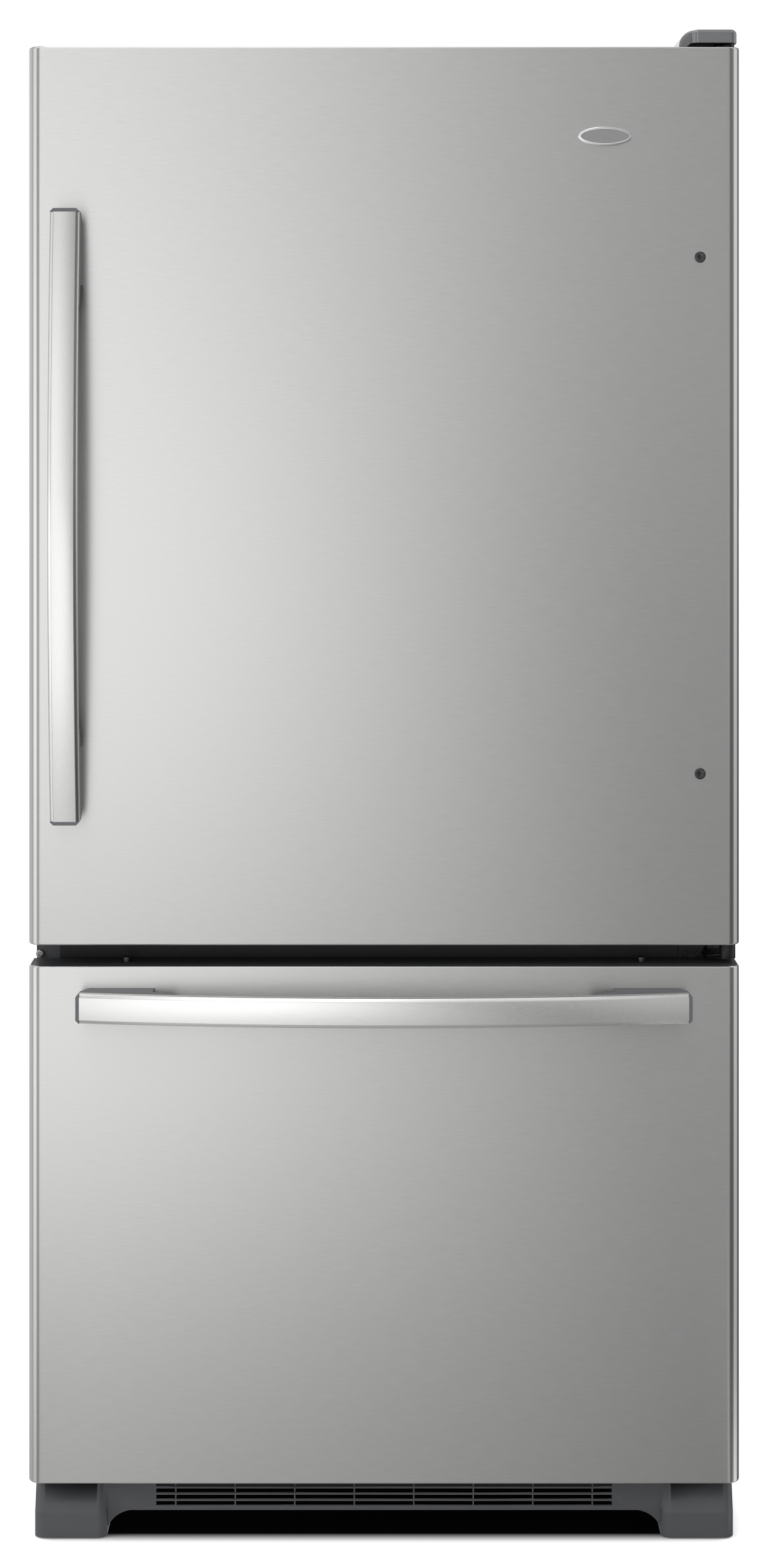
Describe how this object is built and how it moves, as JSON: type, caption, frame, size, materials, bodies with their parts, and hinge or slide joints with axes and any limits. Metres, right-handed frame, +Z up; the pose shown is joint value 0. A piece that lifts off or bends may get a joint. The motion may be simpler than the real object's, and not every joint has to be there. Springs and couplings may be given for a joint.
{
  "type": "bottom freezer refrigerator",
  "caption": "Upright refrigerator with a right-hinged stainless door over a pull-out freezer drawer, bowed bar handles, shelves, crispers and baskets.",
  "frame": {"origin": "on the floor, under the middle of the whole object's bounding box", "axes": "+Z up, the front with the doors faces -Y, +X to the right seen from the front"},
  "size_m": [0.832, 0.826, 1.768],
  "materials": {
    "stainless_sheet": "satin",
    "handle_steel": "satin",
    "mount_plastic": "satin",
    "cap_plastic": "satin",
    "cover_plastic": "satin",
    "grille_plastic": "matte",
    "bush_plastic": "matte",
    "cabinet_paint": "satin",
    "black_paint": "satin",
    "panel_paint": "matte",
    "zinc_steel": "satin",
    "white_paint": "satin",
    "liner_plastic": "gloss",
    "clear_plastic": "gloss",
    "shelf_glass": "gloss",
    "gasket_rubber": "matte",
    "rigid_foam": "matte",
    "compressor_paint": "satin",
    "roller_nylon": "matte",
    "knob_plastic": "satin"
  },
  "bodies": {
    "cabinet": {"base_frame": "black_paint", "base_grille": "grille_plastic", "cabinet_screws": "zinc_steel", "cabinet_shell": "cabinet_paint", "center_hinge_bracket": "black_paint", "compressor": "compressor_paint", "condenser_coil": "compressor_paint", "control_housing": "liner_plastic", "crisper_cover": "liner_plastic", "evaporator_cover": "liner_plastic", "fan_motors": "compressor_paint", "freezer_liner": "liner_plastic", "fridge_liner": "liner_plastic", "insulation_foam": "rigid_foam", "light_lens": "clear_plastic", "machine_cover": "panel_paint", "mullion_rail": "black_paint", "power_inlet": "bush_plastic", "rear_panel": "panel_paint", "shelf_frames": "liner_plastic", "shelf_panes": "shelf_glass", "shelf_supports": "white_paint", "slide_outer_rails": "zinc_steel", "top_hinge_bracket": "black_paint", "top_hinge_cover": "cover_plastic"},
    "fridge_door": {"door_skin": "stainless_sheet", "door_end_caps": "cap_plastic", "door_hinge_bushes": "bush_plastic", "door_plug_screws": "zinc_steel", "door_liner": "liner_plastic", "door_foam": "rigid_foam", "door_gasket": "gasket_rubber", "door_bins": "clear_plastic", "door_handle": "handle_steel", "door_handle_mounts": "mount_plastic"},
    "dairy_lid": {"dairy_lid": "clear_plastic"},
    "freezer_drawer": {"drawer_skin": "stainless_sheet", "drawer_end_caps": "cap_plastic", "drawer_liner": "liner_plastic", "drawer_foam": "rigid_foam", "drawer_gasket": "gasket_rubber", "drawer_handle": "handle_steel", "drawer_handle_mounts": "mount_plastic", "drawer_frame": "white_paint", "lower_basket": "liner_plastic"},
    "slide_middles": {"slide_middle_rails": "zinc_steel"},
    "upper_basket": {"upper_basket": "liner_plastic"},
    "crisper_left": {"crisper_left": "clear_plastic"},
    "crisper_right": {"crisper_right": "clear_plastic"},
    "humidity_slider_left": {"humidity_slider_left": "knob_plastic"},
    "humidity_slider_right": {"humidity_slider_right": "knob_plastic"},
    "fridge_knob": {"fridge_knob": "knob_plastic"},
    "freezer_knob": {"freezer_knob": "knob_plastic"},
    "switch_plunger": {"switch_plunger": "knob_plastic"},
    "leveling_leg_left": {"leveling_leg_left": "zinc_steel"},
    "leveling_leg_right": {"leveling_leg_right": "zinc_steel"},
    "rear_roller_left": {"rear_roller_left": "roller_nylon"},
    "rear_roller_right": {"rear_roller_right": "roller_nylon"},
    "evaporator_fan": {"evaporator_fan": "roller_nylon"},
    "condenser_fan": {"condenser_fan": "roller_nylon"}
  },
  "joints": [
    {"name": "fridge_door_hinge", "type": "hinge", "parent": "cabinet", "child": "fridge_door", "pos_m": [0.404, -0.32, 1.222], "axis": [0, 0, 1], "range_deg": [0, 130]},
    {"name": "freezer_drawer_slide", "type": "slide", "parent": "cabinet", "child": "freezer_drawer", "axis": [0, -1, 0], "range_m": [0, 0.42]},
    {"name": "slide_middles_slide", "type": "slide", "parent": "cabinet", "child": "slide_middles", "axis": [0, -1, 0], "range_m": [0, 0.21]},
    {"name": "upper_basket_slide", "type": "slide", "parent": "freezer_drawer", "child": "upper_basket", "axis": [0, 1, 0], "range_m": [0, 0.13]},
    {"name": "crisper_left_slide", "type": "slide", "parent": "cabinet", "child": "crisper_left", "axis": [0, -1, 0], "range_m": [0, 0.095]},
    {"name": "crisper_right_slide", "type": "slide", "parent": "cabinet", "child": "crisper_right", "axis": [0, -1, 0], "range_m": [0, 0.095]},
    {"name": "humidity_slider_left_slide", "type": "slide", "parent": "cabinet", "child": "humidity_slider_left", "axis": [1, 0, 0], "range_m": [0, 0.05]},
    {"name": "humidity_slider_right_slide", "type": "slide", "parent": "cabinet", "child": "humidity_slider_right", "axis": [1, 0, 0], "range_m": [0, 0.05]},
    {"name": "dairy_lid_hinge", "type": "hinge", "parent": "fridge_door", "child": "dairy_lid", "pos_m": [-0.1643, -0.194, 1.635], "axis": [1, 0, 0], "range_deg": [0, 95]},
    {"name": "switch_plunger_slide", "type": "slide", "parent": "cabinet", "child": "switch_plunger", "axis": [0, -1, 0], "range_m": [0, 0.008]},
    {"name": "fridge_knob_turn", "type": "hinge", "parent": "cabinet", "child": "fridge_knob", "pos_m": [0.075, -0.165, 1.684], "axis": [0, -1, 0], "range_deg": [-135, 135]},
    {"name": "freezer_knob_turn", "type": "hinge", "parent": "cabinet", "child": "freezer_knob", "pos_m": [-0.075, -0.165, 1.684], "axis": [0, -1, 0], "range_deg": [-135, 135]},
    {"name": "leveling_leg_left_turn", "type": "hinge", "parent": "cabinet", "child": "leveling_leg_left", "pos_m": [-0.365, -0.258, 0.06], "axis": [0, 0, 1], "continuous": true},
    {"name": "leveling_leg_right_turn", "type": "hinge", "parent": "cabinet", "child": "leveling_leg_right", "pos_m": [0.365, -0.258, 0.06], "axis": [0, 0, 1], "continuous": true},
    {"name": "rear_roller_left_spin", "type": "hinge", "parent": "cabinet", "child": "rear_roller_left", "pos_m": [-0.391, 0.37, 0.02], "axis": [1, 0, 0], "continuous": true},
    {"name": "rear_roller_right_spin", "type": "hinge", "parent": "cabinet", "child": "rear_roller_right", "pos_m": [0.391, 0.37, 0.02], "axis": [1, 0, 0], "continuous": true},
    {"name": "evaporator_fan_spin", "type": "hinge", "parent": "cabinet", "child": "evaporator_fan", "pos_m": [0, 0.309, 0.5175], "axis": [0, 1, 0], "continuous": true},
    {"name": "condenser_fan_spin", "type": "hinge", "parent": "cabinet", "child": "condenser_fan", "pos_m": [0.033, 0.299, 0.165], "axis": [1, 0, 0], "continuous": true}
  ],
  "couplings": [
    {"joint": "slide_middles_slide", "follows": "freezer_drawer_slide", "ratio": 0.5},
    {"joint": "switch_plunger_slide", "follows": "fridge_door_hinge", "m_per_rad": 0.0035224}
  ]
}
